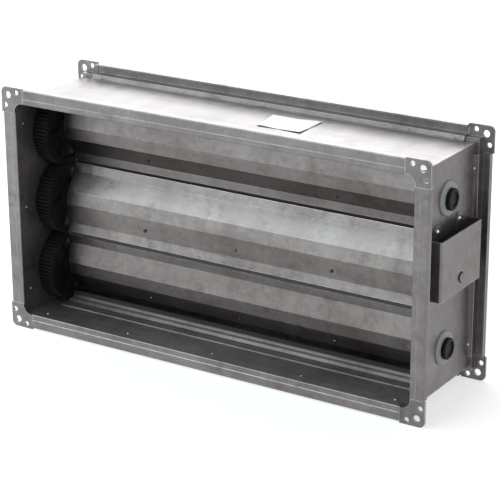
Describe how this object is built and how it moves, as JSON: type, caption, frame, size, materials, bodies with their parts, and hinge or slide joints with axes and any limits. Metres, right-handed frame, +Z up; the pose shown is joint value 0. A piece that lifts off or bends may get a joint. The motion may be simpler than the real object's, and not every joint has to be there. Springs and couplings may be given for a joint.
{
  "type": "volume control damper",
  "caption": "Rectangular flanged volume control damper: sheet-metal duct casing with gear-coupled opposed blades, a drive spindle and an actuator bracket.",
  "frame": {"origin": "centre of the front flange's face, midway between its four corner bolt holes", "axes": "+X to the side with the actuator bracket, +Y through the duct from the front flange to the rear flange, +Z up"},
  "size_m": [0.645, 0.17, 0.342],
  "materials": {
    "galvanised_steel": "galvanised sheet, satin with faint spangle",
    "corner_steel": "pressed zinc-plated steel, slightly dull",
    "blade_steel": "smooth galvanised sheet, fairly bright",
    "rivet_steel": "plated rivet heads",
    "spindle_steel": "turned steel bar",
    "black_plastic": "moulded black plastic, satin",
    "light_plastic": "moulded light grey plastic",
    "seal_rubber": "black extruded rubber"
  },
  "bodies": {
    "casing": {"actuator_bracket": "galvanised_steel", "bottom_stop_seal": "seal_rubber", "bottom_stop_strip": "galvanised_steel", "bracket_rivets": "rivet_steel", "casing_bottom_panel": "galvanised_steel", "casing_left_panel": "galvanised_steel", "casing_right_panel": "galvanised_steel", "casing_top_panel": "galvanised_steel", "front_bottom_left_corner": "corner_steel", "front_bottom_profile": "galvanised_steel", "front_bottom_right_corner": "corner_steel", "front_left_profile": "galvanised_steel", "front_right_profile": "galvanised_steel", "front_top_left_corner": "corner_steel", "front_top_profile": "galvanised_steel", "front_top_right_corner": "corner_steel", "lower_left_bush": "light_plastic", "lower_right_bush": "light_plastic", "middle_left_bush": "light_plastic", "middle_right_bush": "light_plastic", "profile_rivets": "rivet_steel", "rear_bottom_left_corner": "corner_steel", "rear_bottom_profile": "galvanised_steel", "rear_bottom_right_corner": "corner_steel", "rear_left_profile": "galvanised_steel", "rear_right_profile": "galvanised_steel", "rear_top_left_corner": "corner_steel", "rear_top_profile": "galvanised_steel", "rear_top_right_corner": "corner_steel", "top_stop_seal": "seal_rubber", "top_stop_strip": "galvanised_steel", "upper_left_bush": "light_plastic", "upper_right_bush": "light_plastic"},
    "upper_blade": {"upper_blade_front_skin": "blade_steel", "upper_blade_rear_skin": "blade_steel", "upper_blade_rivets": "rivet_steel", "upper_blade_seal": "seal_rubber", "upper_gear": "black_plastic", "upper_left_pivot": "black_plastic", "upper_pivot": "black_plastic"},
    "middle_blade": {"middle_blade_front_skin": "blade_steel", "middle_blade_rear_skin": "blade_steel", "middle_blade_rivets": "rivet_steel", "middle_blade_seal": "seal_rubber", "middle_gear": "black_plastic", "middle_left_pivot": "black_plastic", "middle_pivot": "black_plastic", "drive_spindle": "spindle_steel"},
    "lower_blade": {"lower_blade_front_skin": "blade_steel", "lower_blade_rear_skin": "blade_steel", "lower_blade_rivets": "rivet_steel", "lower_blade_seal": "seal_rubber", "lower_gear": "black_plastic", "lower_left_pivot": "black_plastic", "lower_pivot": "black_plastic"}
  },
  "joints": [
    {"name": "middle_blade_turn", "type": "hinge", "parent": "casing", "child": "middle_blade", "pos_m": [0, 0.085, 0], "axis": [1, 0, 0], "range_deg": [-77, 13]},
    {"name": "upper_blade_turn", "type": "hinge", "parent": "casing", "child": "upper_blade", "pos_m": [0, 0.085, 0.098], "axis": [1, 0, 0], "range_deg": [-13, 77]},
    {"name": "lower_blade_turn", "type": "hinge", "parent": "casing", "child": "lower_blade", "pos_m": [0, 0.085, -0.098], "axis": [1, 0, 0], "range_deg": [-13, 77]}
  ],
  "couplings": [
    {"joint": "upper_blade_turn", "follows": "middle_blade_turn", "ratio": -1},
    {"joint": "lower_blade_turn", "follows": "middle_blade_turn", "ratio": -1}
  ]
}
